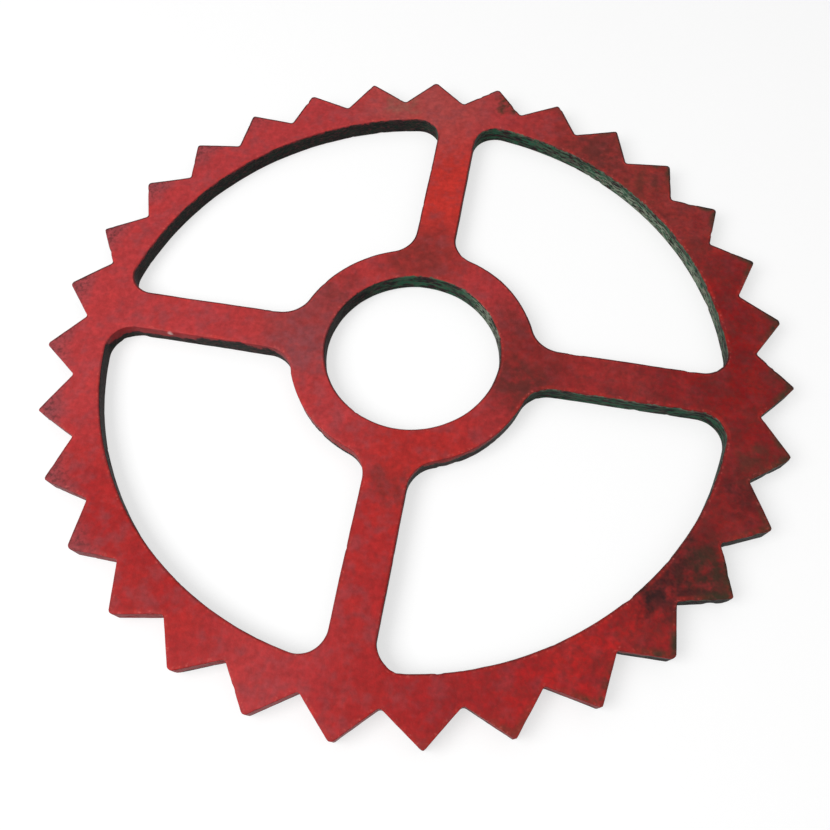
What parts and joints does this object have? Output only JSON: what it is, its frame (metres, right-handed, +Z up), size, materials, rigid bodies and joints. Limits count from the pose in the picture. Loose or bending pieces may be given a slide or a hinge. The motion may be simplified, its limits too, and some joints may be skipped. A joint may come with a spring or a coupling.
{
  "type": "roller ring",
  "caption": "Flat cast ring with pointed teeth round its rim, straight spokes, a plain hub and a large round bore, painted red on its faces.",
  "frame": {"origin": "on the bore axis, at the underside that the ring lies on", "axes": "+Z up along the bore axis; the spokes lie along X and Y; one tooth points along -Y"},
  "size_m": [0.5292, 0.5286, 0.016],
  "materials": {
    "painted_casting": "red paint on the faces, bare dark walls, grimy and worn"
  },
  "bodies": {
    "root": {"roller_ring": "painted_casting"}
  },
  "joints": []
}
